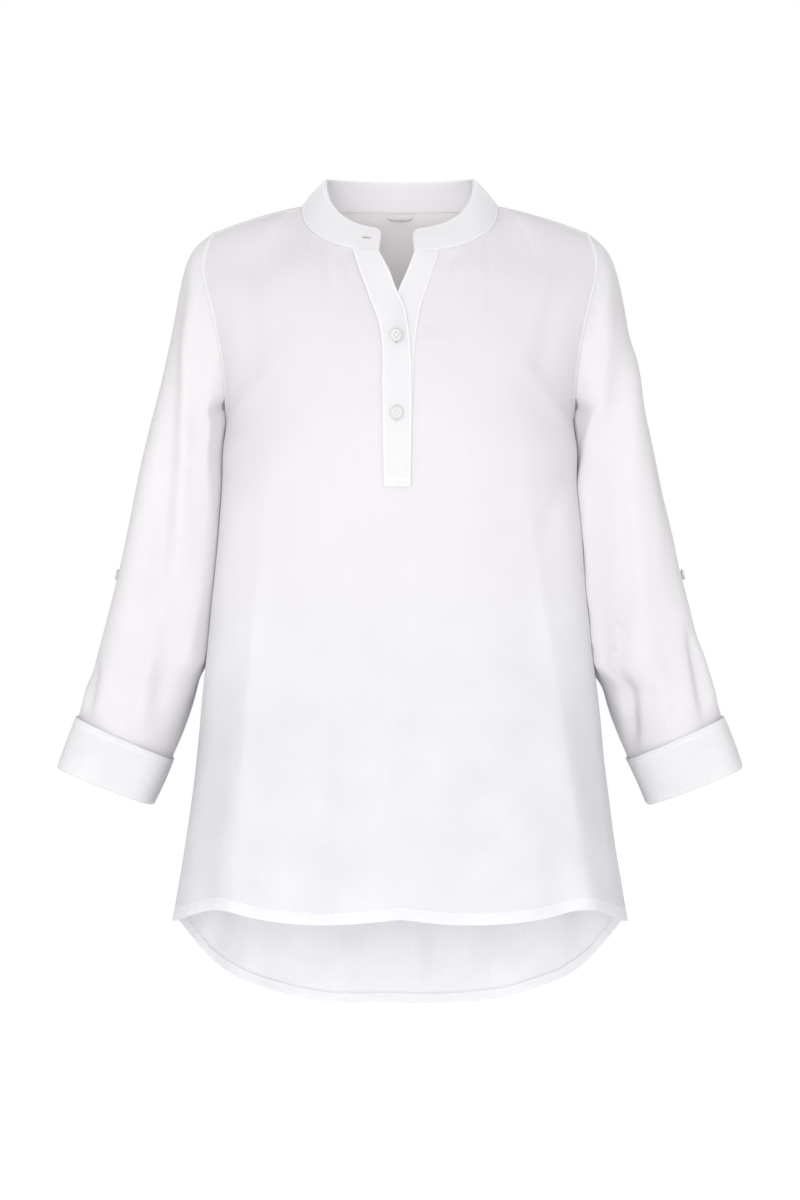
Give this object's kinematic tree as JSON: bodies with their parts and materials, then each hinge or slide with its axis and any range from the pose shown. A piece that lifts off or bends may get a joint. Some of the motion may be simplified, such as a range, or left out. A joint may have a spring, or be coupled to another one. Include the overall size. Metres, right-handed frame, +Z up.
{
  "type": "blouse",
  "caption": "White linen-look tunic blouse, filled out: band collar, open half placket, three-quarter sleeves with turned-up cuffs, curved high-low hem.",
  "frame": {"origin": "centre of the neck opening, level with the tops of the shoulders beside the neck, where the wearer holds it up", "axes": "+Z up, the front of the blouse faces -Y, +X towards the wearer's left sleeve"},
  "size_m": [0.6518, 0.2786, 0.8042],
  "materials": {
    "cloth": "plain-woven linen look, slightly sheer, matt",
    "double_cloth": "the same cloth double, whiter, matt",
    "buttons": "pale pearly resin",
    "label": "smooth woven tape"
  },
  "bodies": {
    "root": {"back": "cloth", "button_1": "buttons", "button_2": "buttons", "collar": "double_cloth", "cuff_left": "double_cloth", "cuff_right": "double_cloth", "front": "cloth", "neck_label": "label", "placket_under": "double_cloth", "placket_upper": "double_cloth", "sleeve_button_left": "buttons", "sleeve_button_right": "buttons", "sleeve_left": "cloth", "sleeve_right": "cloth"}
  },
  "joints": []
}
